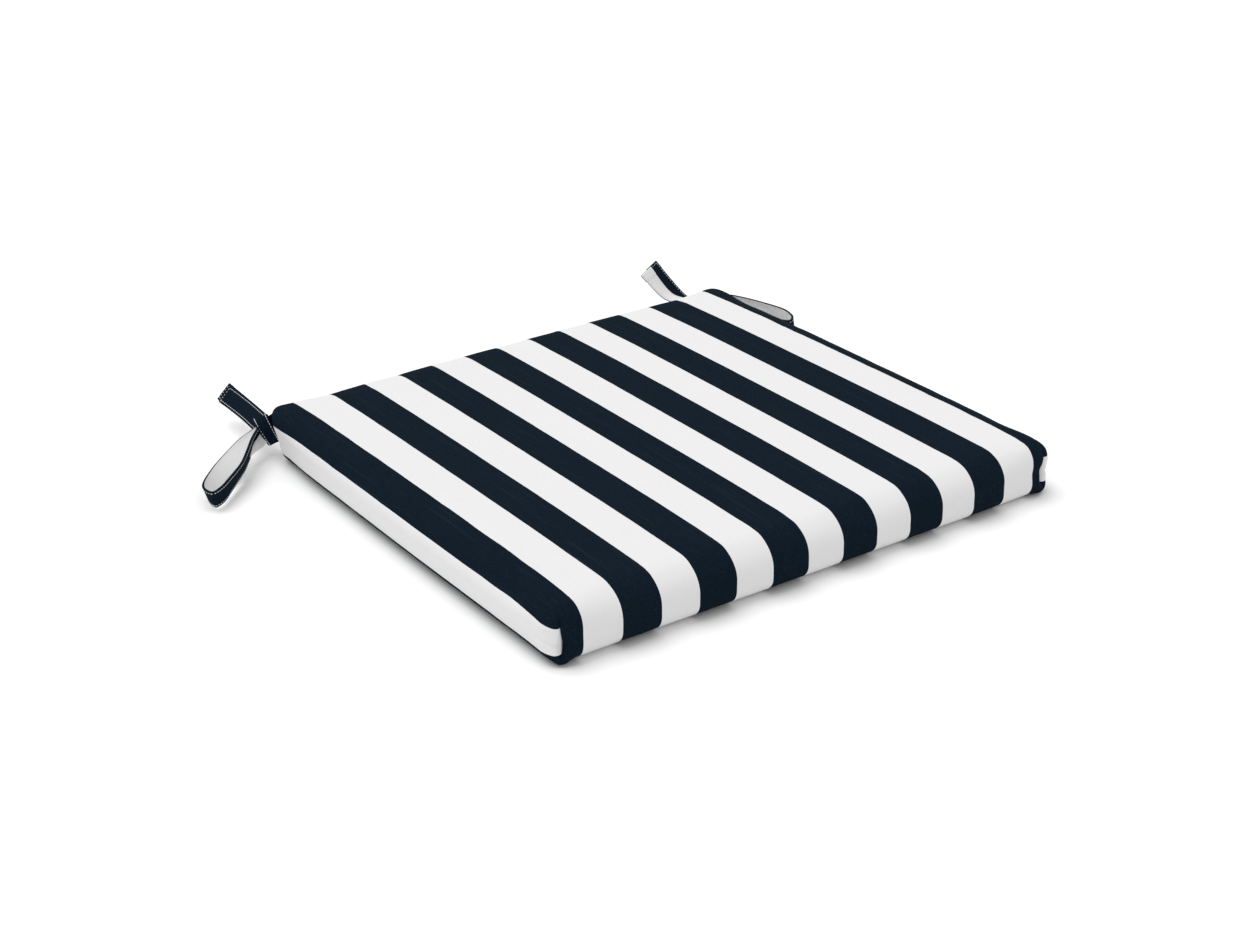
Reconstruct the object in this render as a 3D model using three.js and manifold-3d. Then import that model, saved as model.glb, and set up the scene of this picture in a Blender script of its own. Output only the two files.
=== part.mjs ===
// A boxed chair cushion with a tie sewn into each rear corner, lying on its back.
// Millimetres, +Z up, front edge along -Y, origin under the middle of the cushion.
import * as THREE from "three";
import Module from "manifold-3d";

const wasm = await Module();
wasm.setup();

// Cushion
const WIDTH = 507;
const DEPTH = 470;
const BACK_SKEW = 0.02;
const CORNER_RADIUS = 20;
const CROWN_HEIGHT = 50.1;
const DROP_TO_ENDS = 3.65;
const LEAN_TO_FRONT = 0.4;
const RISE_OF_FRONT_CORNERS = 1.7;
const CORNER_DROP_REACH = 32;
const SIDE_BULGE = 1.2;

// Edge radii, tighter towards the corners and at their seams
const TOP_RADIUS_FRONT = 23;
const TOP_RADIUS_REAR = 20;
const BOTTOM_RADIUS = 16;
const BOTTOM_RADIUS_AT_CORNER = 15;
const BOTTOM_RADIUS_AT_SEAM = 9;
const CORNER_REACH = 0.06;
const SEAM_SHARP = 26;

// Corner seams, each a little nearer the end face than the side face: drawn in along
// their height, dented low down and pointed at the foot. Spreads are in degrees.
const SEAM_ANGLE = 54;
const SEAM_PULL = 2.2;
const SEAM_DENT = 4.6;
const SEAM_DENT_AT = 18;
const SEAM_DENT_HALF = 8;
const SEAM_SPREAD_SIDE = 8;
const SEAM_SPREAD_FRONT = 18;
const SEAM_BOW = 5;
const SEAM_BOTTOM = 2;
const SEAM_TOP = 42;
const SEAM_FADE = 7;
const CORNER_POINT = 2;
const CORNER_POINT_SPREAD = 16;
const CORNER_POINT_AT = 4;
const CORNER_POINT_HALF = 5;

// The four corners, rear right first and then anticlockwise: how far the top drops there,
// its radii beside and at the seam, and how far the walls are drawn in, by height. shareX
// and shareY are the shares of that depth across and along, and fade the degrees past the
// seam in which a panel lets go of a pull along itself.
const PULL_HEIGHTS = [0, 12, 24, 34, 42, 46];
const PULL_REACH = 38;
const CORNERS = [
  {
    drop: 0, top: 12, topAtSeam: 9,
    shareX: 1, shareY: 1, fade: 25,
    depths: [2, 2.5, 2.5, 2, 1, 0],
  },
  {
    drop: 1, top: 12, topAtSeam: 8,
    shareX: 0.1, shareY: 1, fade: 400,
    depths: [17, 17, 11, 5.5, 1.5, 0],
  },
  {
    drop: 1.5, top: 17, topAtSeam: 15,
    shareX: 0, shareY: 0, fade: 25,
    depths: [0, 0, 0, 0, 0, 0],
  },
  {
    drop: 2, top: 17, topAtSeam: 16,
    shareX: 0, shareY: 1, fade: 25,
    depths: [1.5, 3, 4.6, 3.4, 2.5, 1.5],
  },
];
const CORNER_ANGLES = [0, 16, 30, 39, 45, 48.5, 51.5, SEAM_ANGLE, 56.5, 59.5, 63, 70, 80, 90];
const SIDE_SHARES = [0.03, 0.07, 0.14, 0.26, 0.42, 0.58, 0.74, 0.86, 0.93, 0.97];
const ARC_STEPS = 6;
const WALL_STEPS = 4;
const TOP_RINGS = [0.93, 0.8, 0.6, 0.35];
const BOTTOM_RINGS = [0.8, 0.45];

// Ties
const TIE_WIDTH = 18;
const TIE_THICKNESS = 2.2;
const TIE_BEVEL = 0.5;
const HEM_LENGTH = 9;
const HEM_EXTRA = 0.7;
const KNOT_HALF_DEPTH = 5.5;
const KNOT_WAIST = 0.07;
const SEAT_GAP = 0.3;

const radians = THREE.MathUtils.degToRad;
const smooth = THREE.MathUtils.smoothstep;
const lerp = THREE.MathUtils.lerp;

// Closed mesh from rings of equal length, with a fan at each end
function loft(rings, firstCentre, lastCentre) {
  const count = rings[0].length;
  const points = [firstCentre, ...rings.flat(), lastCentre];
  const last = points.length - 1;
  const faces = [];
  for (let i = 0; i < count; i++) {
    const j = (i + 1) % count;
    faces.push(0, 1 + j, 1 + i);
    for (let r = 0; r < rings.length - 1; r++) {
      const low = 1 + r * count;
      const high = low + count;
      faces.push(low + i, low + j, high + j);
      faces.push(low + i, high + j, high + i);
    }
    const end = 1 + (rings.length - 1) * count;
    faces.push(last, end + i, end + j);
  }
  const positions = points.flatMap((p) => [p.x, p.y, p.z]);
  return new wasm.Manifold(
    new wasm.Mesh({
      numProp: 3,
      vertProperties: new Float32Array(positions),
      triVerts: new Uint32Array(faces),
    }),
  );
}

function meshOf(solid, name, material) {
  const made = solid.getMesh();
  const geometry = new THREE.BufferGeometry();
  geometry.setAttribute("position", new THREE.BufferAttribute(made.vertProperties, 3));
  geometry.setIndex(new THREE.BufferAttribute(made.triVerts, 1));
  geometry.computeVertexNormals();
  const mesh = new THREE.Mesh(geometry, material);
  mesh.name = name;
  return mesh;
}

const bell = (t, width) => Math.exp(-((t / width) ** 2));

// Height of the crowned top above a point of the plan
function topHeight(x, y) {
  const across = (2 * x) / WIDTH;
  const along = (2 * y) / DEPTH;
  const corner = y > 0 ? (x > 0 ? 0 : 1) : x > 0 ? 3 : 2;
  const toCorner = Math.hypot(WIDTH / 2 - Math.abs(x), DEPTH / 2 - Math.abs(y));
  const crown = CROWN_HEIGHT - DROP_TO_ENDS * along ** 4;
  const lean = along * (LEAN_TO_FRONT - RISE_OF_FRONT_CORNERS * across ** 2);
  return crown + lean - CORNERS[corner].drop * bell(toCorner, CORNER_DROP_REACH);
}

// How far the wall is drawn in at off degrees from a corner seam, counted down towards
// the side, and at a height
function seamPull(off, z) {
  const low = smooth(z, SEAM_BOTTOM, SEAM_BOTTOM + SEAM_FADE);
  const high = 1 - smooth(z, SEAM_TOP - SEAM_FADE, SEAM_TOP);
  const dent = SEAM_DENT * bell(z - SEAM_DENT_AT, SEAM_DENT_HALF);
  const spread = off < 0 ? SEAM_SPREAD_SIDE : SEAM_SPREAD_FRONT;
  const point = CORNER_POINT * bell(z - CORNER_POINT_AT, CORNER_POINT_HALF);
  return (SEAM_PULL * low * high + dent) * bell(off, spread) - point * bell(off, CORNER_POINT_SPREAD);
}

// How far a station is drawn in towards the corners at a height, in x and y
function cornerPull({ corner, off, share }, z) {
  const pull = { x: 0, y: 0 };
  CORNERS.forEach(({ shareX, shareY, fade, depths }, own) => {
    const length = (own % 2 === 0 ? WIDTH : DEPTH) - 2 * CORNER_RADIUS;
    const before = WIDTH + DEPTH - 4 * CORNER_RADIUS - length;
    let away = Infinity;
    if (corner === own) away = share * length;
    else if (corner === (own + 3) % 4 && share > 0) away = (1 - share) * before;
    const next = PULL_HEIGHTS.findIndex((height) => height > z);
    const last = PULL_HEIGHTS.length - 1;
    const depth =
      next <= 0
        ? depths[next === 0 ? 0 : last]
        : THREE.MathUtils.mapLinear(
            z,
            PULL_HEIGHTS[next - 1],
            PULL_HEIGHTS[next],
            depths[next - 1],
            depths[next],
          );
    const keep = (degrees) => (share === 0 ? THREE.MathUtils.clamp(1 - degrees / fade, 0, 1) : 1);
    const near = bell(away, PULL_REACH) * depth;
    pull.x -= shareX * near * keep(off) * (own === 0 || own === 3 ? 1 : -1);
    pull.y -= shareY * near * keep(-off) * (own < 2 ? 1 : -1);
  });
  return pull;
}

// Stations round the plan: four corners, with straight stretches between them.
// near is 1 at a corner and fades to 0 along the sides, and off is in degrees from the
// corner's seam, counted up towards the end face and down towards the side face.
function planStations() {
  const stations = [];
  for (let corner = 0; corner < 4; corner++) {
    const flipped = corner % 2 === 1;
    const angles = flipped ? CORNER_ANGLES.map((a) => 90 - a).reverse() : CORNER_ANGLES;
    const seam = flipped ? 90 - SEAM_ANGLE : SEAM_ANGLE;
    for (const degrees of angles) {
      const off = (degrees - seam) * (flipped ? -1 : 1);
      stations.push({ corner, degrees, off, share: 0, near: 1 });
    }
    for (const share of SIDE_SHARES) {
      const near = Math.exp(-((Math.min(share, 1 - share) / CORNER_REACH) ** 2));
      stations.push({ corner, degrees: 90, off: 90, share, near });
    }
  }
  return stations;
}

function cornerPoint(corner, degrees, radius, z) {
  const angle = radians(90 * corner + degrees);
  const signX = corner === 0 || corner === 3 ? 1 : -1;
  const signY = corner < 2 ? 1 : -1;
  const x = signX * (WIDTH / 2 - CORNER_RADIUS) + radius * Math.cos(angle);
  const y = signY * (DEPTH / 2 - CORNER_RADIUS) + radius * Math.sin(angle);
  const skew = signY > 0 ? BACK_SKEW * x : 0;
  return new THREE.Vector3(x, y + skew, z);
}

function outlinePoint(station, inset, z) {
  const { corner, degrees, off, share } = station;
  const level = bell(z - SEAM_DENT_AT, SEAM_DENT_HALF) * bell(off, SEAM_SPREAD_FRONT);
  const bow = SEAM_BOW * level * (corner % 2 === 1 ? -1 : 1);
  const point = cornerPoint(corner, degrees + bow, CORNER_RADIUS - inset - seamPull(off, z), z);
  if (share > 0) point.lerp(cornerPoint((corner + 1) % 4, 0, CORNER_RADIUS - inset, z), share);
  const { x, y } = cornerPull(station, z);
  return point.add(new THREE.Vector3(x, y, 0));
}

// Filled cushion; grown moves its whole surface outwards
function cushionSolid(grown = 0) {
  const stations = planStations().map((station) => {
    const back = outlinePoint(station, 0, CROWN_HEIGHT).y / DEPTH + 0.5;
    const sharp = bell(station.off, SEAM_SHARP);
    const plain = lerp(TOP_RADIUS_FRONT, TOP_RADIUS_REAR, back);
    const nearest = CORNERS[(station.corner + (station.share > 0.5 ? 1 : 0)) % 4];
    const top = lerp(plain, nearest.top, station.near) + (nearest.topAtSeam - nearest.top) * sharp;
    const bottom =
      lerp(BOTTOM_RADIUS, BOTTOM_RADIUS_AT_CORNER, station.near) +
      (BOTTOM_RADIUS_AT_SEAM - BOTTOM_RADIUS_AT_CORNER) * sharp;
    const bulge = SIDE_BULGE * Math.sin(Math.PI * station.share);
    const rim = outlinePoint(station, top, CROWN_HEIGHT);
    return { ...station, top, bottom, bulge, height: topHeight(rim.x, rim.y) + grown };
  });
  const rings = [];
  for (let i = 0; i <= ARC_STEPS; i++) {
    const angle = (Math.PI / 2) * (i / ARC_STEPS);
    rings.push(
      stations.map((s) => {
        const inset = s.bottom * (1 - Math.sin(angle)) - s.bulge * Math.sin(angle) ** 2;
        return outlinePoint(s, inset - grown, s.bottom * (1 - Math.cos(angle)) - grown);
      }),
    );
  }
  for (let i = 1; i < WALL_STEPS; i++) {
    rings.push(
      stations.map((s) => {
        const z = lerp(s.bottom - grown, s.height - s.top, i / WALL_STEPS);
        return outlinePoint(s, -s.bulge - grown, z);
      }),
    );
  }
  for (let i = 0; i <= ARC_STEPS; i++) {
    const angle = (Math.PI / 2) * (i / ARC_STEPS);
    rings.push(
      stations.map((s) => {
        const inset = s.top * (1 - Math.cos(angle)) - s.bulge * Math.cos(angle) ** 2;
        return outlinePoint(s, inset - grown, s.height - s.top * (1 - Math.sin(angle)));
      }),
    );
  }
  const foot = rings[0];
  const rim = rings[rings.length - 1];
  const scaled = (ring, share, height) =>
    ring.map((p) => new THREE.Vector3(p.x * share, p.y * share, height(p.x * share, p.y * share)));
  const under = [...BOTTOM_RINGS].reverse().map((share) => scaled(foot, share, () => -grown));
  const over = TOP_RINGS.map((share) => scaled(rim, share, (x, y) => topHeight(x, y) + grown));
  const bottomCentre = new THREE.Vector3(0, 0, -grown);
  const topCentre = new THREE.Vector3(0, 0, CROWN_HEIGHT + grown);
  return loft([...under, ...rings, ...over], bottomCentre, topCentre);
}

// A flat strip through stations [x, y, z, across x, across y, across z, gather]: a point
// on the strip's upper edge, the way across it to the lower edge, and the share of the
// full width that it is gathered to, 1 where left out. A strip that crosses over itself is
// made as two that share one step.
function strip(stations, steps, { hemmed = false, splitAt = steps } = {}) {
  const edge = new THREE.CatmullRomCurve3(
    stations.map((s) => new THREE.Vector3(s[0], s[1], s[2])),
    false,
    "centripetal",
  );
  const acrossAt = new THREE.CatmullRomCurve3(
    stations.map((s) => new THREE.Vector3(s[3], s[4], s[5]).normalize()),
    false,
    "centripetal",
  );
  const gathers = stations.map((s) => s[6] ?? 1);
  const length = edge.getLength();
  const rings = [];
  for (let i = 0; i <= steps; i++) {
    const t = i / steps;
    const share = edge.getUtoTmapping(t);
    const before = Math.min(Math.floor(share * (stations.length - 1)), stations.length - 2);
    const between = share * (stations.length - 1) - before;
    const width = TIE_WIDTH * lerp(gathers[before], gathers[before + 1], between);
    const ahead = edge.getTangent(share);
    const across = acrossAt.getPoint(share);
    across.addScaledVector(ahead, -across.dot(ahead)).normalize();
    const out = new THREE.Vector3().crossVectors(ahead, across);
    const fromTip = length * (1 - t);
    const extra = hemmed && fromTip < HEM_LENGTH ? HEM_EXTRA : 0;
    const half = width / 2 + extra / 2;
    const thick = (TIE_THICKNESS + extra) / 2;
    const middle = edge.getPoint(share).addScaledVector(across, width / 2);
    const section = [
      [-half, -thick + TIE_BEVEL],
      [-half + TIE_BEVEL, -thick],
      [half - TIE_BEVEL, -thick],
      [half, -thick + TIE_BEVEL],
      [half, thick - TIE_BEVEL],
      [half - TIE_BEVEL, thick],
      [-half + TIE_BEVEL, thick],
      [-half, thick - TIE_BEVEL],
    ];
    rings.push(
      section.map(([a, b]) => middle.clone().addScaledVector(across, a).addScaledVector(out, b)),
    );
  }
  const centreOf = (ring) =>
    ring.reduce((sum, p) => sum.add(p), new THREE.Vector3()).divideScalar(ring.length);
  const stretch = (from, to) =>
    loft(rings.slice(from, to + 1), centreOf(rings[from]), centreOf(rings[to]));
  if (splitAt >= steps) return stretch(0, steps);
  return wasm.Manifold.union([stretch(0, splitAt + 1), stretch(splitAt, steps)]);
}

// The band of the knot: an elliptic barrel about its axis, a little waisted, and flared
// lengthwise over its top at the far end
function knotBand({ knot, length, flare, axis, upright, halfHeight }) {
  const centre = new THREE.Vector3(...knot);
  const up = new THREE.Vector3(...upright).normalize();
  const along = new THREE.Vector3(...axis);
  along.addScaledVector(up, -along.dot(up)).normalize();
  const side = new THREE.Vector3().crossVectors(along, up);
  const around = 28;
  const rings = [];
  for (let i = 0; i <= 6; i++) {
    const s = i / 6 - 0.5;
    const size = 1 - KNOT_WAIST * (1 - (2 * s) ** 2);
    const ring = [];
    for (let k = 0; k < around; k++) {
      const angle = (2 * Math.PI * k) / around;
      const reach = s + (flare * Math.sin(angle) * (s + 0.5)) / 2;
      ring.push(
        centre
          .clone()
          .addScaledVector(along, reach * length)
          .addScaledVector(up, size * halfHeight * Math.sin(angle))
          .addScaledVector(side, -size * KNOT_HALF_DEPTH * Math.cos(angle)),
      );
    }
    rings.push(ring);
  }
  const end = (s) => centre.clone().addScaledVector(along, s * length);
  return loft(rings, end(-0.5), end(0.5));
}

// Routes of the two ties, as stations of strip()
const TIES = {
  tie_left: {
    knot: [-251.2, 227.6, 22.1],
    length: 16,
    flare: 0.3,
    halfHeight: 14.5,
    axis: [-0.84, 0.32, -0.4],
    upright: [-0.3, 0.2, 0.93],
    root: [
      [-239.5, 217.5, 40.5, 0, 0, -1, 0.7],
      [-245, 223.5, 39, 0, 0, -1, 0.5],
      [-250.5, 228.5, 34, 0, 0, -1, 0.5],
    ],
    loop: [
      [-250.7, 229.9, 33.9, 0.13, -0.12, -0.98, 0.8],
      [-264.4, 222.5, 33.1, 0.31, -0.44, -0.85, 0.9],
      [-273.6, 218.8, 31.2, 0.44, -0.6, -0.67],
      [-283.5, 214.8, 28.3, 0.48, -0.6, -0.64],
      [-299, 205.3, 24.9, 0.55, -0.58, -0.6],
      [-322.6, 188.3, 20, 0.46, -0.42, -0.78, 0.95],
      [-339.9, 167.9, 18.7, 0.3, -0.13, -0.94, 0.87],
      [-342.2, 158.3, 18.5, 0.27, 0.04, -0.96, 0.86],
      [-339.6, 149.5, 19.1, 0.12, 0.05, -0.99, 0.86],
      [-329.2, 154.8, 19, 0.07, 0.04, -1, 0.88],
      [-316.5, 164.9, 19.9, 0.1, 0.22, -0.97, 0.9],
      [-299.2, 178.5, 23.5, 0.05, 0.36, -0.93, 0.92],
      [-287.2, 192.8, 27, 0.06, 0.26, -0.96, 0.85],
      [-277.1, 205.5, 30.6, 0.08, 0.25, -0.97, 0.7],
      [-268.3, 213.2, 34, -0.02, 0.19, -0.98, 0.55],
      [-254.7, 225.6, 33.8, -0.12, 0.11, -0.99, 0.5],
    ],
    tails: [
      [
        [-249, 228, 36.5, -0.71, 0, -0.7],
        [-247, 260, 36.6, -0.71, 0, -0.7],
        [-246.2, 305.4, 36.4, -0.71, 0, -0.7],
      ],
      [
        [-247.1, 228, 34.5, -0.71, 0, -0.7],
        [-245.1, 260, 34.4, -0.71, 0, -0.7],
        [-243, 315, 34.6, -0.71, 0.04, -0.7],
      ],
    ],
  },
  tie_right: {
    knot: [241, 250, 19.5],
    length: 12.5,
    flare: 0,
    halfHeight: 13,
    axis: [-0.4, 0.85, 0.15],
    upright: [0, 0, 1],
    root: [
      [235, 219, 40, 0, 0, -1, 0.7],
      [245, 239, 38.5, 0, 0, -1, 0.55],
      [242, 249, 31, 0, 0, -1, 0.55],
    ],
    loop: [
      [242, 250.5, 30.5, 0, 0, -1, 0.8],
      [253, 244.5, 33, 0.05, 0, -1],
      [263, 228.3, 34.5, 0.05, -0.05, -1],
      [270.7, 211.5, 34.5, 0.05, -0.1, -1],
      [277, 190.5, 34.5, 0.05, -0.1, -1],
      [281.6, 168, 34.5, 0.05, -0.1, -1],
      [280, 155.5, 34.5, 0.05, -0.1, -1],
      [275.6, 145.8, 34.5, 0.05, -0.1, -1],
      [268.5, 141, 34, 0.05, -0.1, -1],
      [264, 147, 33.5, 0.03, -0.1, -1],
      [262, 160, 33.2, 0, -0.05, -1],
      [261.5, 190, 33, 0, 0, -1],
      [261, 212, 33, 0, 0, -1],
      [257, 228, 32.5, 0, 0, -1],
      [251, 238.5, 31.5, 0, 0, -1],
      [243, 246, 30.5, 0, 0, -1, 0.8],
    ],
    tails: [
      [
        [245, 252, 20, -0.9, -0.3, 0.2],
        [243, 265, 22.5, -0.92, -0.34, 0],
        [240, 274, 26, -0.92, -0.34, -0.15],
        [222, 299.5, 58, -0.92, -0.34, -0.18],
      ],
      [
        [241, 248, 24, -0.8, -0.5, 0.3],
        [231, 259, 27, -0.8, -0.5, 0.25],
        [220.5, 268.5, 32, -0.86, -0.45, 0.15],
        [206.4, 287.2, 58.5, -0.92, -0.36, -0.16],
      ],
    ],
  },
};

const TIE_STEPS = { root: 4, loop: 56, tail: 14 };
const LOOP_TIP = 28;

// One tie: its root in the corner seam, the band of the knot, the loop and two tails
function tieSolid(route, clearance) {
  const pieces = [
    knotBand(route),
    strip(route.root, TIE_STEPS.root),
    strip(route.loop, TIE_STEPS.loop, { splitAt: LOOP_TIP }),
    ...route.tails.map((tail) => strip(tail, TIE_STEPS.tail, { hemmed: true })),
  ];
  return wasm.Manifold.union(pieces).subtract(clearance);
}

const navyCloth = () => new THREE.MeshStandardMaterial({ color: 0x101e2a, roughness: 0.9, metalness: 0 });
const stripedCloth = () => new THREE.MeshStandardMaterial({ color: 0xe9eaec, roughness: 0.92, metalness: 0 });

const group = new THREE.Group();
group.add(meshOf(cushionSolid(), "cushion", stripedCloth()));
const clearance = cushionSolid(SEAT_GAP);
for (const [name, route] of Object.entries(TIES)) {
  group.add(meshOf(tieSolid(route, clearance), name, navyCloth()));
}

export default group;
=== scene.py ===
import math

import bmesh
import bpy
import numpy as np
from mathutils import Matrix, Vector
from mathutils.kdtree import KDTree


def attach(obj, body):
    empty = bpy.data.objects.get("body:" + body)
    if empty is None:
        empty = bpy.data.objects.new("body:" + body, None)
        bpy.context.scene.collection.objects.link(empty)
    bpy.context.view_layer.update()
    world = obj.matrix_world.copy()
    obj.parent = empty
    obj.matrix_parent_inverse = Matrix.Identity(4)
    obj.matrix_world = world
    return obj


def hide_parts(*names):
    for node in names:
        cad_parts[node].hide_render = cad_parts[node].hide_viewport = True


# A boxed, striped chair cushion with a tie knotted at each rear corner, lying on its back.
# Tables are in millimetres; every mesh is written in metres.

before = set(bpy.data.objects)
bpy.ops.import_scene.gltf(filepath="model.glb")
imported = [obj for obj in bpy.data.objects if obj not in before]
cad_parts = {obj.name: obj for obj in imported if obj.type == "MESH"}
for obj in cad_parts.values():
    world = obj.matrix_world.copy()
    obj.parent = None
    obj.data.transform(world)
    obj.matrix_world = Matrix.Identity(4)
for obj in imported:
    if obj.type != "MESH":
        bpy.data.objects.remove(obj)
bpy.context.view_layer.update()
MM = 0.001

# Camera
CAMERA_AT = (-968.1, -1352.4, 797.5)
CAMERA_AZIMUTH = -34.92
CAMERA_ELEVATION = 25.56
CAMERA_ROLL = -0.376
CAMERA_LENS = 61.22
CAMERA_FILM = 36
CAMERA_NEAR = 50
CAMERA_FAR = 60000

# Cushion, as in the solids
WIDTH = 507
DEPTH = 470
BACK_SKEW = 0.02
CORNER_RADIUS = 20
SEAM_ANGLE = 54
STRIPE = 35
STRIPES_LEFT_OF_MIDDLE = 6.5
STRIPE_WOBBLE = 0.8
SIDE_BAND_TOP = 36.5
SIDE_BAND_BOTTOM = 12
SIDE_BAND_DROP_REAR = 4
SIDE_BAND_DROP_FRONT = 5.2
SIDE_BAND_SAG = 1.5
SIDE_BAND_END_POWER = 4
SIDE_BAND_CORNER_POWER = 14

TOP_RADIUS_FRONT = 23
TOP_RADIUS_REAR = 20
TOP_RADIUS_AT_CORNER = (12, 12, 17, 17)
TOP_RADIUS_AT_SEAM = (9, 8, 15, 16)
BOTTOM_RADIUS = 16
BOTTOM_RADIUS_AT_CORNER = 15
BOTTOM_RADIUS_AT_SEAM = 9
CORNER_REACH = 0.06
SEAM_SHARP = 26
CORNER_POINT = 2
CORNER_POINT_SPREAD = 16
CORNER_POINT_AT = 4
CORNER_POINT_HALF = 5
CROWN_HEIGHT = 50.1
DROP_TO_ENDS = 3.65
LEAN_TO_FRONT = 0.4
RISE_OF_FRONT_CORNERS = 1.7
CORNER_DROPS = (0, 1, 1.5, 2)
CORNER_DROP_REACH = 32
SIDE_BULGE = 1.2
SEAM_BOW = 5
SEAM_PULL = 1.2
SEAM_DENT = 4.6
SEAM_DENT_AT = 18
SEAM_DENT_HALF = 8
SEAM_SPREAD_SIDE = 8
SEAM_SPREAD_FRONT = 18
SEAM_CREASE = 1.2
SEAM_CREASE_SPREAD = 2
SEAM_BOTTOM = 2
SEAM_TOP = 42
SEAM_FADE = 7
SEAM_STATIONS = (0, 0.6, 1.3, 2.1, 3.1, 4.4, 6, 8)
SEAM_STATION_GAP = 1.5

# Walls drawn in towards the corners, rear right first: shares in x and y, depth by height
CORNER_PULL_SHARES = ((1, 1), (0.1, 1), (0, 0), (0, 1))
CORNER_PULL_HEIGHTS = (0, 12, 24, 34, 42, 46)
CORNER_PULL_DEPTHS = (
    (2, 2.5, 2.5, 2, 1, 0),
    (17, 17, 11, 5.5, 1.5, 0),
    (0, 0, 0, 0, 0, 0),
    (1.5, 3, 4.6, 3.4, 2.5, 1.5),
)
CORNER_PULL_REACH = 38
CORNER_PULL_FADES = (25, 400, 25, 25)

CORNER_STEPS = 24
SIDE_STEPS = 84
SIDE_CROWDING = 0.6
ARC_STEPS = 14
WALL_STEPS = 14
TOP_STEPS = 26
BOTTOM_STEPS = 10

# Cloth run, on a coarser copy
VOXEL = 5.2
PUFF_FRAMES = 20
PUFF_QUALITY = 6
PUFF_MASS = 0.3
PUFF_PRESSURE = 4
PUFF_STRETCH_STIFFNESS = 20
PUFF_SHEAR_STIFFNESS = 8
PUFF_BEND_STIFFNESS = 0.6
PUFF_CAP = 6
EVEN_ROUNDS = 24
RELIEF_CAP = 0.9
RELIEF_NEIGHBOURS = 4
FLOOR_CLEAR = 0.3
FLOOR_CLEAR_FADE = 3

# Puckers at the corner seams
PUCKER = 0.35
PUCKER_REACH = 13
PUCKER_CLEAR = 2.5
PUCKER_PITCH = 12
PUCKER_SLOPE = 0.25
PUCKER_LAG = 0.8
PUCKER_FROM = 2
PUCKER_FADE = 9
PINCH = 2.0
PINCH_HALF = 3
PINCH_REACH = 24
PINCH_SLOPE = 0.12
DIMPLE = 1.0
DIMPLE_REACH = 3
DIMPLE_OVER_SEAM_BOTTOM = 3
DIMPLE_UNDER_SEAM_TOP = 2

# Ties
TIE_WIDTH = 18
TIE_THICKNESS = 2.2
HEM_LENGTH = 9
HEM_EXTRA = 0.8
HEM_RAMP = 0.8
HEM_SPREAD = 0.02
SWAY = 0.25
SWAY_LENGTH = 9
RIM_FROM = 8.5
STRIP_PITCH = 1.6
STRIP_LEAST_STEPS = 8
CURVE_STEPS = 40

# Half of a strip's section across its width, and its half thickness there as a share
SECTION = (-9, -8.8, -8.3, -7.4, -6.4, -4.5, -2, 0, 2, 4.5, 6.4, 7.4, 8.3, 8.8, 9)
SECTION_HALF = (0.05, 0.6, 0.98, 0.86, 0.86, 0.95, 1, 1, 1, 0.95, 0.86, 0.86, 0.98, 0.6, 0.05)

# Knot bands
BAND_HALF_DEPTH = 5.5
BAND_WALL = 1.9
BAND_ROLL = 1.4
BAND_ROLL_POWER = 6
BAND_WAIST = 0.05
BAND_STEPS = 56
BAND_ROWS = 14
# Creases as [height, turns round the band, lean along it]
BAND_CREASES = ((0.175, 3, 1.3), (0.1, 7, -2))

# Stitches
STITCH_INSET = 2.2
STITCH_LENGTH = 2.1
STITCH_PITCH = 3.0
STITCH_RADIUS = 0.32
STITCH_ROWS = (-1, -0.55, 0, 0.55, 1)
STITCH_TAPER = 0.55
STITCH_SINK = 0.3
STITCH_SIDES = 6
STITCH_BED = 0.86
STITCH_OVER_BED = 0.12
STITCH_CLEAR_OF_BAND = 2
STITCH_CLEAR_ROUND_BAND = 1.3
BAND_STITCH_ROWS = (-0.72, 0.72)
BAND_STITCHES = 30
BAND_STITCH_SINK = 0.25
BAND_STITCH_OVER = 0.1

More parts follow.
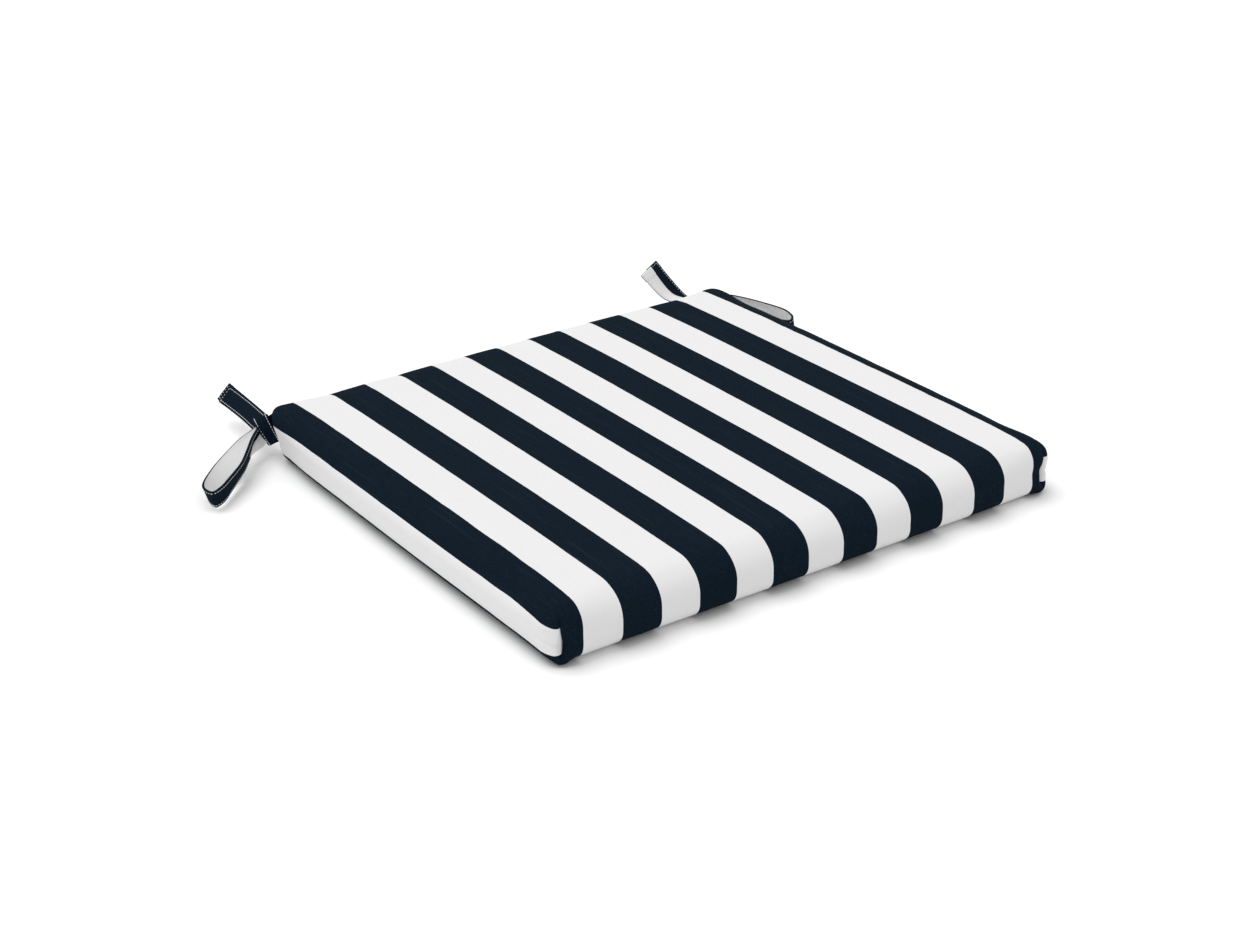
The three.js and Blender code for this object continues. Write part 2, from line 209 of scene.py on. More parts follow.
# Strips as stations [x, y, z, across x, y, z, gather]: a point on the upper edge, the way
# across to the lower edge, and the share of the full width, 1 where left out.
# navy is 1 where the strip's upper face is navy and -1 where its lower face is.
TIES = {
    "tie_left": {
        "knot": [-251.6, 224.7, 24],
        "length": 13,
        "flare": 0.2,
        "half_height": 14.5,
        "axis": [-0.84, 0.32, -0.4],
        "upright": [-0.3, 0.2, 0.93],
        "strips": [
            {"kind": "root", "navy": 1, "stations": [
                [-239.5, 217.5, 40.5, 0, 0, -1, 0.7],
                [-245, 223.5, 39, 0, 0, -1, 0.5],
                [-250.5, 228.5, 34, 0, 0, -1, 0.5],
            ]},
            {"kind": "loop", "navy": -1, "stations": [
                [-250.7, 229.9, 33.9, 0.13, -0.12, -0.98, 0.8],
                [-259.2, 229.9, 28.8, 0.31, -0.44, -0.85, 0.9],
                [-266.3, 229.2, 25.2, 0.44, -0.6, -0.67],
                [-280.9, 218.5, 26.2, 0.48, -0.6, -0.64],
                [-298, 206.8, 24, 0.55, -0.58, -0.6],
                [-322.6, 188.3, 20, 0.46, -0.42, -0.78, 0.95],
                [-339.9, 167.9, 18.7, 0.3, -0.13, -0.94, 0.87],
                [-342.2, 158.3, 18.5, 0.27, 0.04, -0.96, 0.86],
                [-339.6, 149.5, 19.1, 0.12, 0.05, -0.99, 0.86],
                [-329.2, 154.8, 19, 0.07, 0.04, -1, 0.88],
                [-316.5, 164.9, 19.9, 0.1, 0.22, -0.97, 0.9],
                [-297.6, 180.7, 22.2, 0.05, 0.36, -0.93, 0.92],
                [-284.1, 197.2, 24.4, 0.06, 0.26, -0.96, 0.85],
                [-271.9, 212.9, 26.3, 0.08, 0.25, -0.97, 0.7],
                [-262.1, 222.1, 28.8, -0.02, 0.19, -0.98, 0.55],
                [-254.7, 225.6, 33.8, -0.12, 0.11, -0.99, 0.5],
            ]},
            {"kind": "tail", "navy": 1, "stations": [
                [-249, 228, 36.5, -0.71, 0, -0.7],
                [-247, 260, 36.6, -0.71, 0, -0.7],
                [-246.2, 305.4, 36.4, -0.71, 0, -0.7],
            ]},
            {"kind": "tail", "navy": 1, "stations": [
                [-247.1, 228, 34.5, -0.71, 0, -0.7],
                [-245.1, 260, 34.4, -0.71, 0, -0.7],
                [-243, 315, 34.6, -0.71, 0.04, -0.7],
            ]},
        ],
    },
    "tie_right": {
        "knot": [241, 250, 19.5],
        "length": 12.5,
        "flare": 0,
        "half_height": 13,
        "axis": [-0.4, 0.85, 0.15],
        "upright": [0, 0, 1],
        "strips": [
            {"kind": "root", "navy": 1, "stations": [
                [235, 219, 40, 0, 0, -1, 0.7],
                [245, 239, 38.5, 0, 0, -1, 0.55],
                [242, 249, 31, 0, 0, -1, 0.55],
            ]},
            {"kind": "loop", "navy": 1, "stations": [
                [242, 250.5, 30.5, 0, 0, -1, 0.8],
                [253, 244.5, 33, 0.05, 0, -1],
                [263, 228.3, 34.5, 0.05, -0.05, -1],
                [270.7, 211.5, 34.5, 0.05, -0.1, -1],
                [277, 190.5, 34.5, 0.05, -0.1, -1],
                [281.6, 168, 34.5, 0.05, -0.1, -1],
                [280, 155.5, 34.5, 0.05, -0.1, -1],
                [275.6, 145.8, 34.5, 0.05, -0.1, -1],
                [268.5, 141, 34, 0.05, -0.1, -1],
                [264, 147, 33.5, 0.03, -0.1, -1],
                [262, 160, 33.2, 0, -0.05, -1],
                [261.5, 190, 33, 0, 0, -1],
                [261, 212, 33, 0, 0, -1],
                [257, 228, 32.5, 0, 0, -1],
                [251, 238.5, 31.5, 0, 0, -1],
                [243, 246, 30.5, 0, 0, -1, 0.8],
            ]},
            {"kind": "tail", "navy": 1, "stations": [
                [245, 252, 20, -0.9, -0.3, 0.2],
                [243, 265, 22.5, -0.92, -0.34, 0],
                [240, 274, 26, -0.92, -0.34, -0.15],
                [222, 299.5, 58, -0.92, -0.34, -0.18],
            ]},
            {"kind": "tail", "navy": -1, "stations": [
                [241, 248, 24, -0.8, -0.5, 0.3],
                [231, 259, 27, -0.8, -0.5, 0.25],
                [220.5, 268.5, 32, -0.86, -0.45, 0.15],
                [206.4, 287.2, 58.5, -0.92, -0.36, -0.16],
            ]},
        ],
    },
}

# Colours
NAVY = (0.0032, 0.0085, 0.0158)
NAVY_SLUB = (0.011, 0.021, 0.031)
WHITE = (0.745, 0.745, 0.745)
WHITE_SLUB = (0.67, 0.67, 0.67)
THREAD_WHITE = (0.70, 0.70, 0.70)
FLOOR_WHITE = (0.95, 0.95, 0.95)

# Cloth and thread: noise scales are per metre, pitches and depths in millimetres
FLECK_SCALE = 1900
FLECK_STRETCH = 0.25
FLECK_RANGE = (0.58, 0.76)
FLECK_SHARE = 0.7
RUN_SCALE = 620
RUN_STRETCH = 0.014
RUN_RANGE = (0.66, 0.76)
RUN_SHARE = 0.45
PATCH_SCALE = 14
PATCH_SHARE = 0.15
WHITE_SLUB_SHARE = 0.4
STRIPE_WOBBLE_SCALE = 35
COVER_WEAVE_PITCH = 1.1
COVER_WEAVE_DEPTH = 0.12
TIE_WEAVE_PITCH = 0.9
TIE_WEAVE_DEPTH = 0.1
WEAVE_BLEND = 4
BUMP_STRENGTH = 0.6
CLOTH_ROUGHNESS = 0.88
CLOTH_SHINE = 0.03
THREAD_PATCH_SCALE = 1500
THREAD_TWIST_SCALE = 2500
THREAD_TWIST_DEPTH = 0.05
THREAD_ROUGHNESS = 0.6

# Floor and light
FLOOR_HALF = 20000
FLOOR_ROUGHNESS = 0.9
FLOOR_SHINE = 0.1
SKY = 0.75
KEY = 1.5
KEY_FROM = (-0.5, 0.5, 1.9)
KEY_SPREAD = 50


# Camera's place and view
def add_camera():
    """A long lens that looks down over the front left corner."""
    azimuth = math.radians(CAMERA_AZIMUTH)
    elevation = math.radians(CAMERA_ELEVATION)
    roll = math.radians(CAMERA_ROLL)
    back = Vector((
        math.sin(azimuth) * math.cos(elevation),
        -math.cos(azimuth) * math.cos(elevation),
        math.sin(elevation),
    ))
    level = Vector((math.cos(azimuth), math.sin(azimuth), 0))
    upward = back.cross(level)
    right = level * math.cos(roll) + upward * math.sin(roll)
    up = upward * math.cos(roll) - level * math.sin(roll)
    data = bpy.data.cameras.new("camera")
    data.sensor_fit = "HORIZONTAL"
    data.sensor_width = CAMERA_FILM
    data.lens = CAMERA_LENS
    data.clip_start = CAMERA_NEAR * MM
    data.clip_end = CAMERA_FAR * MM
    camera = bpy.data.objects.new("camera", data)
    bpy.context.scene.collection.objects.link(camera)
    place = Matrix((right, up, back)).transposed().to_4x4()
    place.translation = Vector(CAMERA_AT) * MM
    camera.matrix_world = place
    bpy.context.scene.camera = camera


# Shader helpers
class Nodes:
    """A material's node tree, with short calls for the nodes used here."""

    def __init__(self, name):
        self.material = bpy.data.materials.new(name)
        self.material.use_nodes = True
        self.tree = self.material.node_tree
        self.shader = self.tree.nodes["Principled BSDF"]

    def put(self, node, socket, value):
        if isinstance(value, bpy.types.NodeSocket):
            self.tree.links.new(value, node.inputs[socket])
        elif value is not None:
            node.inputs[socket].default_value = value

    def math(self, operation, a, b=None, c=None):
        node = self.tree.nodes.new("ShaderNodeMath")
        node.operation = operation
        for i, value in enumerate((a, b, c)):
            self.put(node, i, value)
        return node.outputs[0]

    def rise(self, value, low, high):
        node = self.tree.nodes.new("ShaderNodeMapRange")
        node.interpolation_type = "SMOOTHSTEP"
        for socket, v in (("Value", value), ("From Min", low), ("From Max", high)):
            self.put(node, socket, v)
        return node.outputs["Result"]

    def noise(self, vector, scale, detail, stretch=(1, 1, 1)):
        mapping = self.tree.nodes.new("ShaderNodeMapping")
        self.put(mapping, "Vector", vector)
        mapping.inputs["Scale"].default_value = stretch
        node = self.tree.nodes.new("ShaderNodeTexNoise")
        self.put(node, "Vector", mapping.outputs["Vector"])
        node.inputs["Scale"].default_value = scale
        node.inputs["Detail"].default_value = detail
        return node.outputs["Fac"]

    def mix(self, share, a, b):
        node = self.tree.nodes.new("ShaderNodeMix")
        node.data_type = "RGBA"
        self.put(node, "Factor", share)
        for socket, value in ((6, a), (7, b)):
            self.put(node, socket, (*value, 1) if isinstance(value, tuple) else value)
        return node.outputs[2]

    def place(self):
        """The place on the part in metres, and its three coordinates in millimetres."""
        node = self.tree.nodes.new("ShaderNodeTexCoord")
        split = self.tree.nodes.new("ShaderNodeSeparateXYZ")
        self.put(split, 0, node.outputs["Object"])
        return node.outputs["Object"], [
            self.math("MULTIPLY", split.outputs[i], 1 / MM) for i in range(3)
        ]

    def weave(self, xyz, pitch):
        """Height of a plain weave that follows the surface, from 0 to 1."""
        normal = self.tree.nodes.new("ShaderNodeNewGeometry")
        facing = self.tree.nodes.new("ShaderNodeSeparateXYZ")
        self.put(facing, 0, normal.outputs["Normal"])
        waves = [
            self.math("SINE", self.math("MULTIPLY", c, 2 * math.pi / pitch)) for c in xyz
        ]
        total = None
        for axis, (i, j) in enumerate(((1, 2), (0, 2), (0, 1))):
            share = self.math("POWER", self.math("ABSOLUTE", facing.outputs[axis]), WEAVE_BLEND)
            cell = self.math("MULTIPLY", waves[i], waves[j])
            part = self.math("MULTIPLY", cell, share)
            total = part if total is None else self.math("ADD", total, part)
        return self.math("MULTIPLY_ADD", total, 0.5, 0.5)

    def cloth(self, colour, height, depth, roughness=CLOTH_ROUGHNESS):
        bump = self.tree.nodes.new("ShaderNodeBump")
        bump.inputs["Strength"].default_value = BUMP_STRENGTH
        bump.inputs["Distance"].default_value = depth * MM
        self.put(bump, "Height", height)
        self.put(self.shader, "Normal", bump.outputs["Normal"])
        self.put(self.shader, "Base Color", colour)
        self.shader.inputs["Roughness"].default_value = roughness
        self.shader.inputs["Specular IOR Level"].default_value = CLOTH_SHINE
        return self.material


def cloth_colours(n, vector):
    """Navy and white yarn with short slubs both ways and a few long ones."""
    warp = n.noise(vector, FLECK_SCALE, 1.0, (1, FLECK_STRETCH, 1))
    weft = n.noise(vector, FLECK_SCALE, 1.0, (FLECK_STRETCH, 1, FLECK_STRETCH))
    fleck = n.rise(n.math("MAXIMUM", warp, weft), *FLECK_RANGE)
    run = n.rise(n.noise(vector, RUN_SCALE, 0.0, (1, RUN_STRETCH, 1)), *RUN_RANGE)
    flecks = n.math("MULTIPLY", fleck, FLECK_SHARE)
    slub = n.math("MAXIMUM", flecks, n.math("MULTIPLY", run, RUN_SHARE))
    patch = n.math("MULTIPLY", n.noise(vector, PATCH_SCALE, 3.0), PATCH_SHARE)
    navy = n.mix(slub, NAVY, NAVY_SLUB)
    navy = n.mix(patch, navy, NAVY_SLUB)
    white = n.mix(n.math("MULTIPLY", slub, WHITE_SLUB_SHARE), WHITE, WHITE_SLUB)
    white = n.mix(patch, white, WHITE_SLUB)
    return navy, white


def side_band(n, y, z):
    """1 within the pale band of a side panel, which drops towards both ends."""
    share = n.math("DIVIDE", n.math("ABSOLUTE", y), DEPTH / 2)
    end = n.math("POWER", share, SIDE_BAND_END_POWER)
    corner = n.math("POWER", share, SIDE_BAND_CORNER_POWER)
    rear = n.math("GREATER_THAN", y, 0)
    front = n.math("SUBTRACT", 1, rear)
    at_rear = n.math("MULTIPLY", n.math("MULTIPLY", end, rear), SIDE_BAND_DROP_REAR)
    at_front = n.math("MULTIPLY", n.math("MULTIPLY", corner, front), SIDE_BAND_DROP_FRONT)
    lowered = n.math("ADD", z, n.math("ADD", at_rear, at_front))
    sagged = n.math("MULTIPLY_ADD", end, SIDE_BAND_SAG, z)
    under_top = n.math("LESS_THAN", lowered, SIDE_BAND_TOP)
    over_bottom = n.math("GREATER_THAN", sagged, SIDE_BAND_BOTTOM)
    return n.math("MULTIPLY", under_top, over_bottom)


def stripes(n, x):
    """1 on the white stripes, which run from front to back."""
    across = n.math("ADD", n.math("DIVIDE", x, STRIPE), STRIPES_LEFT_OF_MIDDLE)
    return n.math("LESS_THAN", n.math("FLOORED_MODULO", across, 2.0), 1.0)


def cover_cloth(name, side):
    """Stripes across the cover, or the pale band along a side panel."""
    n = Nodes(name)
    vector, (x, y, z) = n.place()
    uneven = n.math("SUBTRACT", n.noise(vector, STRIPE_WOBBLE_SCALE, 3.0), 0.5)
    wobble = n.math("MULTIPLY", uneven, STRIPE_WOBBLE)
    if side:
        pale = side_band(n, y, n.math("ADD", z, wobble))
    else:
        pale = stripes(n, n.math("ADD", x, wobble))
    navy, white = cloth_colours(n, vector)
    colour = n.mix(pale, navy, white)
    return n.cloth(colour, n.weave((x, y, z), COVER_WEAVE_PITCH), COVER_WEAVE_DEPTH)


def tie_cloth(name, pale):
    """The navy or the pale face of a tie's strip."""
    n = Nodes(name)
    vector, xyz = n.place()
    navy, white = cloth_colours(n, vector)
    return n.cloth(white if pale else navy, n.weave(xyz, TIE_WEAVE_PITCH), TIE_WEAVE_DEPTH)


def stitch_thread():
    """Twisted white thread."""
    n = Nodes("stitch_thread")
    vector, _ = n.place()
    colour = n.mix(n.noise(vector, THREAD_PATCH_SCALE, 1.0), THREAD_WHITE, WHITE)
    twist = n.noise(vector, THREAD_TWIST_SCALE, 2.0)
    return n.cloth(colour, twist, THREAD_TWIST_DEPTH, roughness=THREAD_ROUGHNESS)


# Meshes
def new_object(name, mesh, materials):
    obj = bpy.data.objects.new(name, mesh)
    bpy.context.scene.collection.objects.link(obj)
    for material in materials:
        mesh.materials.append(material)
    return obj


def coords(mesh):
    flat = np.zeros(len(mesh.vertices) * 3, np.float32)
    mesh.vertices.foreach_get("co", flat)
    return flat.reshape(-1, 3).astype(float)


def set_coords(mesh, points):
    mesh.vertices.foreach_set("co", np.asarray(points, np.float32).ravel())
    mesh.update()


def bake(obj):
    """Keeps what the modifiers make of the mesh and drops them."""
    graph = bpy.context.evaluated_depsgraph_get()
    mesh = bpy.data.meshes.new_from_object(obj.evaluated_get(graph))
    obj.modifiers.clear()
    obj.data = mesh


def smooth(t, low, high):
    """0 up to low, 1 from high on, with an eased rise between."""
    s = np.clip((t - low) / (high - low), 0, 1)
    return s * s * (3 - 2 * s)


# Cushion mesh and its cloth run
def plan_stations():
    """Arrays of corner, degrees, degrees off the seam, share of the side, nearness to a corner,
    and whether the stretch after each station belongs to a side panel. Off the seam counts
    up towards the front or back and down towards the side."""
    steps = np.arange(1, SIDE_STEPS)
    crowded = 0.5 - 0.5 * np.cos(np.pi * steps / SIDE_STEPS)
    shares = SIDE_CROWDING * crowded + (1 - SIDE_CROWDING) * steps / SIDE_STEPS
    rows = []
    for corner in range(4):
        way = -1 if corner % 2 else 1
        seam = 90 - SEAM_ANGLE if corner % 2 else SEAM_ANGLE
        close = [seam + side * d for d in SEAM_STATIONS for side in (-1, 1)]
        reach = SEAM_STATIONS[-1] + SEAM_STATION_GAP
        spread = [a for a in np.linspace(0, 90, CORNER_STEPS + 1) if abs(a - seam) > reach]
        for degrees in sorted(set(close + spread)):
            off = (degrees - seam) * way
            panel = degrees >= seam if corner % 2 else degrees < seam
            rows.append((corner, degrees, off, 0, 1, panel))
        for share in shares:
            near = math.exp(-((min(share, 1 - share) / CORNER_REACH) ** 2))
            rows.append((corner, 90, 90, share, near, corner % 2))
    return np.array(rows, float).T


def corner_point(corner, degrees, radius):
    """A point on a corner's round, at degrees from where the round starts."""
    angle = np.radians(90 * corner + degrees)
    sign_x = np.where((corner == 0) | (corner == 3), 1, -1)
    sign_y = np.where(corner < 2, 1, -1)
    x = sign_x * (WIDTH / 2 - CORNER_RADIUS) + radius * np.cos(angle)
    y = sign_y * (DEPTH / 2 - CORNER_RADIUS) + radius * np.sin(angle)
    return x, y + np.where(sign_y > 0, BACK_SKEW * x, 0)


def corner_pull(stations, z):
    """How far each station is drawn in at height z, in x and y. A panel follows the pull
    across it, and lets go of the pull along it past the seam."""
    corner, _, off, share, _, _ = stations
    on_arc = share == 0
    let_go = off / np.array(CORNER_PULL_FADES)[corner.astype(int)]
    keep_x = np.where(on_arc, np.clip(1 - let_go, 0, 1), 1)
    keep_y = np.where(on_arc, np.clip(1 + let_go, 0, 1), 1)
    dx, dy = np.zeros(len(corner)), np.zeros(len(corner))
    for own, (along_x, along_y) in enumerate(CORNER_PULL_SHARES):
        depth = np.interp(z, CORNER_PULL_HEIGHTS, CORNER_PULL_DEPTHS[own])
        length = (WIDTH if own % 2 == 0 else DEPTH) - 2 * CORNER_RADIUS
        before = (WIDTH + DEPTH - 4 * CORNER_RADIUS) - length
        away = np.where(corner == own, share * length, np.inf)
        away = np.where((corner == (own - 1) % 4) & (share > 0), (1 - share) * before, away)
        near = np.exp(-((away / CORNER_PULL_REACH) ** 2)) * depth
        dx -= along_x * near * keep_x * (1 if own in (0, 3) else -1)
        dy -= along_y * near * keep_y * (1 if own < 2 else -1)
    return dx, dy


def outline(stations, inset, z):
    """The cushion's outline at height z, drawn in by the inset, the seams and the corners."""
    corner, degrees, off, share, _, _ = stations
    way = np.where(corner % 2 == 1, -1, 1)
    spread = np.where(off < 0, SEAM_SPREAD_SIDE, SEAM_SPREAD_FRONT)
    level = np.exp(-(((z - SEAM_DENT_AT) / SEAM_DENT_HALF) ** 2))
    fade = smooth(z, SEAM_BOTTOM, SEAM_BOTTOM + SEAM_FADE)
    fade = fade * (1 - smooth(z, SEAM_TOP - SEAM_FADE, SEAM_TOP))
    drawn = (SEAM_PULL * fade + SEAM_DENT * level) * np.exp(-((off / spread) ** 2))
    crease = SEAM_CREASE * fade * np.exp(-((off / SEAM_CREASE_SPREAD) ** 2))
    low = np.exp(-(((z - CORNER_POINT_AT) / CORNER_POINT_HALF) ** 2))
    drawn -= CORNER_POINT * low * np.exp(-((off / CORNER_POINT_SPREAD) ** 2))
    bow = way * SEAM_BOW * level * np.exp(-((off / SEAM_SPREAD_FRONT) ** 2))
    x0, y0 = corner_point(corner, degrees + bow, CORNER_RADIUS - inset - drawn - crease)
    x1, y1 = corner_point((corner + 1) % 4, 0, CORNER_RADIUS - inset)
    dx, dy = corner_pull(stations, z)
    return np.stack([x0 + (x1 - x0) * share + dx, y0 + (y1 - y0) * share + dy, z + 0 * x0], 1)


def top_height(x, y):
    """Height of the crowned top, which falls off towards the ends and the corners."""
    across, along = 2 * x / WIDTH, 2 * y / DEPTH
    crown = CROWN_HEIGHT - DROP_TO_ENDS * along ** 4
    lean = along * (LEAN_TO_FRONT - RISE_OF_FRONT_CORNERS * across ** 2)
    to_corner = np.hypot(WIDTH / 2 - np.abs(x), DEPTH / 2 - np.abs(y))
    rear, front = (np.where(x > 0, CORNER_DROPS[i], CORNER_DROPS[j]) for i, j in ((0, 1), (3, 2)))
    drop = np.where(y > 0, rear, front)
    return crown + lean - drop * np.exp(-((to_corner / CORNER_DROP_REACH) ** 2))


def closed_faces(rings, count):
    """Faces between rings of count points, and of the fans that close both ends."""
    after = [(k + 1) % count for k in range(count)]
    faces = [(0, 1 + after[k], 1 + k) for k in range(count)]
    for i in range(rings - 1):
        a, b = 1 + i * count, 1 + (i + 1) * count
        faces += [(a + k, a + after[k], b + after[k], b + k) for k in range(count)]
    tail = 1 + (rings - 1) * count
    last = tail + count
    faces += [(last, tail + k, tail + after[k]) for k in range(count)]
    return faces


def cushion_mesh():
    """The filled cushion as rings from the middle of its underside to the middle of its top."""
    stations = plan_stations()
    corner, _, off, share, near, panel = stations
    back = outline(stations, 0, CROWN_HEIGHT)[:, 1] / DEPTH + 0.5
    sharp = np.exp(-((off / SEAM_SHARP) ** 2))
    nearest = (corner + (share > 0.5)).astype(int) % 4
    at_corner = np.array(TOP_RADIUS_AT_CORNER)[nearest]
    at_seam = np.array(TOP_RADIUS_AT_SEAM)[nearest]
    top = TOP_RADIUS_FRONT + (TOP_RADIUS_REAR - TOP_RADIUS_FRONT) * back
    top += (at_corner - top) * near + (at_seam - at_corner) * sharp
    bottom = BOTTOM_RADIUS + (BOTTOM_RADIUS_AT_CORNER - BOTTOM_RADIUS) * near
    bottom += (BOTTOM_RADIUS_AT_SEAM - BOTTOM_RADIUS_AT_CORNER) * sharp
    bulge = SIDE_BULGE * np.sin(np.pi * share)
    rim = outline(stations, top, CROWN_HEIGHT)
    height = top_height(rim[:, 0], rim[:, 1])
    rings = []
    for a in np.linspace(0, np.pi / 2, ARC_STEPS + 1):
        inset = bottom * (1 - math.sin(a)) - bulge * math.sin(a) ** 2
        rings.append(outline(stations, inset, bottom * (1 - math.cos(a))))
    for t in np.linspace(0, 1, WALL_STEPS + 1)[1:-1]:
        rings.append(outline(stations, -bulge, bottom + (height - top - bottom) * t))
    for a in np.linspace(0, np.pi / 2, ARC_STEPS + 1):
        inset = top * (1 - math.cos(a)) - bulge * math.cos(a) ** 2
        rings.append(outline(stations, inset, height - top * (1 - math.sin(a))))
    under = [rings[0] * [s, s, 0] for s in np.linspace(0, 1, BOTTOM_STEPS + 1)[1:-1]]
    over = []
    for s in np.linspace(1, 0, TOP_STEPS + 1)[1:-1]:
        ring = rings[-1] * [s, s, 0]
        ring[:, 2] = top_height(ring[:, 0], ring[:, 1])
        over.append(ring)
    walls = range(len(under), len(under) + len(rings) - 1)
    rings = under + rings + over
    count = len(rings[0])
    points = np.vstack([[0, 0, 0], *rings, [0, 0, CROWN_HEIGHT]])
    faces = closed_faces(len(rings), count)
    mesh = bpy.data.meshes.new("cushion_cover")
    mesh.from_pydata((points * MM).tolist(), [], faces)
    cloth = np.zeros(len(faces), np.int32)
    for i in walls:
        cloth[count * (i + 1):count * (i + 2)] = panel
    mesh.polygons.foreach_set("material_index", cloth)
    mesh.update()
    return mesh


def capped(moves, cap):
    """The moves with their lengths eased down to stay under the cap."""
    length = np.linalg.norm(moves, axis=1)
    held = cap * np.tanh(length / cap)
    return moves * (held / np.maximum(length, 1e-9))[:, None]


def puff_relief(obj):
    """Relief that pressure gives the cover: rest points of a coarser copy and their shifts."""
    copy = new_object("cushion_run", obj.data.copy(), [])
    remesh = copy.modifiers.new("Remesh", "REMESH")
    remesh.mode = "VOXEL"
    remesh.voxel_size = VOXEL * MM
    bake(copy)
    rest = coords(copy.data)
    cloth = copy.modifiers.new("Cloth", "CLOTH")
    settings = cloth.settings
    settings.quality = PUFF_QUALITY
    settings.mass = PUFF_MASS
    settings.tension_stiffness = PUFF_STRETCH_STIFFNESS
    settings.compression_stiffness = PUFF_STRETCH_STIFFNESS
    settings.shear_stiffness = PUFF_SHEAR_STIFFNESS
    settings.bending_stiffness = PUFF_BEND_STIFFNESS
    settings.use_pressure = True
    settings.uniform_pressure_force = PUFF_PRESSURE
    settings.effector_weights.gravity = 0
    cloth.collision_settings.use_self_collision = False
    for number in range(1, PUFF_FRAMES + 1):
        bpy.context.scene.frame_set(number)
    bake(copy)
    bpy.context.scene.frame_set(1)
    move = capped(coords(copy.data) - rest, PUFF_CAP * MM)
    ends = np.zeros(len(copy.data.edges) * 2, np.int32)
    copy.data.edges.foreach_get("vertices", ends)
    ends = ends.reshape(-1, 2)
    degree = np.bincount(ends.ravel(), minlength=len(rest))[:, None]
    even = move.copy()
    for _ in range(EVEN_ROUNDS):
        total = np.zeros_like(even)
        np.add.at(total, ends[:, 0], even[ends[:, 1]])
        np.add.at(total, ends[:, 1], even[ends[:, 0]])
        even = 0.5 * even + 0.5 * total / degree
    bpy.data.objects.remove(copy)
    return rest, capped(move - even, RELIEF_CAP * MM)


def lay_relief(points, rest, shift):
    """Each point moved as the nearest points of the coarser copy are."""
    tree = KDTree(len(rest))
    for i, p in enumerate(rest):
        tree.insert(p, i)
    tree.balance()
    out = points.copy()
    for i, p in enumerate(points):
        total, weight = np.zeros(3), 0.0
        for _, k, distance in tree.find_n(p, RELIEF_NEIGHBOURS):
            share = 1 / (distance + 1e-4)
            total += shift[k] * share
            weight += share
        out[i] += total / weight
    return out


def seam_measure(points):
    """For points in mm: distance off the nearest corner's seam, distance out towards it from
    the middle of the corner's round, and the way out as unit vectors."""
    x, y, _ = points.T
    sx, sy = np.sign(x), np.sign(y)
    centre_x = sx * (WIDTH / 2 - CORNER_RADIUS)
    centre_y = sy * (DEPTH / 2 - CORNER_RADIUS) + np.where(sy > 0, BACK_SKEW * x, 0)
    angle = math.radians(SEAM_ANGLE)
    out_x, out_y = sx * math.cos(angle), sy * math.sin(angle)
    dx, dy = x - centre_x, y - centre_y
    off = dx * -out_y * sx * sy + dy * out_x * sx * sy
    ahead = dx * out_x + dy * out_y
    return off, ahead, np.stack([out_x, out_y, np.zeros_like(x)], 1)


def pucker(points):
    """Drawn cloth beside the corner seams, a pinch in each side panel and a dimple at each
    end of a seam."""
    off, ahead, out = seam_measure(points)
    z = points[:, 2]
    near = smooth(ahead, 0, CORNER_RADIUS * 0.5)
    fade = smooth(z, SEAM_BOTTOM + PUCKER_FROM, SEAM_BOTTOM + PUCKER_FADE)
    fade = fade * (1 - smooth(z, SEAM_TOP - PUCKER_FADE, SEAM_TOP))
    beside = np.exp(-((off / PUCKER_REACH) ** 2)) * (1 - np.exp(-((off / PUCKER_CLEAR) ** 2)))
    turns = 2 * math.pi * (z + PUCKER_SLOPE * np.abs(off)) / PUCKER_PITCH
    wave = np.sin(turns + PUCKER_LAG * np.sign(points[:, 0]))
    deep = PUCKER * beside * wave * fade
    pinch = np.exp(-np.abs(z - SEAM_DENT_AT + PINCH_SLOPE * off) / PINCH_HALF)
    deep += PINCH * (off < 0) * np.exp(-((off / PINCH_REACH) ** 2)) * pinch
    for end in (SEAM_BOTTOM + DIMPLE_OVER_SEAM_BOTTOM, SEAM_TOP - DIMPLE_UNDER_SEAM_TOP):
        deep += DIMPLE * np.exp(-((off / DIMPLE_REACH) ** 2) - ((z - end) / DIMPLE_REACH) ** 2)
    return points - out * (near * deep)[:, None]


def add_cushion(materials):
    """The cover, puffed by the cloth run and drawn in at its seams."""
    obj = new_object("cushion_cover", cushion_mesh(), materials)
    rest, shift = puff_relief(obj)
    set_coords(obj.data, lay_relief(coords(obj.data), rest, shift))
    points = pucker(coords(obj.data) / MM)
    least = FLOOR_CLEAR * np.exp(-points[:, 2].clip(0) / FLOOR_CLEAR_FADE)
    points[:, 2] = np.maximum(points[:, 2], least)
    set_coords(obj.data, points * MM)
    obj.data.polygons.foreach_set("use_smooth", [True] * len(obj.data.polygons))
    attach(obj, "root")
    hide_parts("cushion")


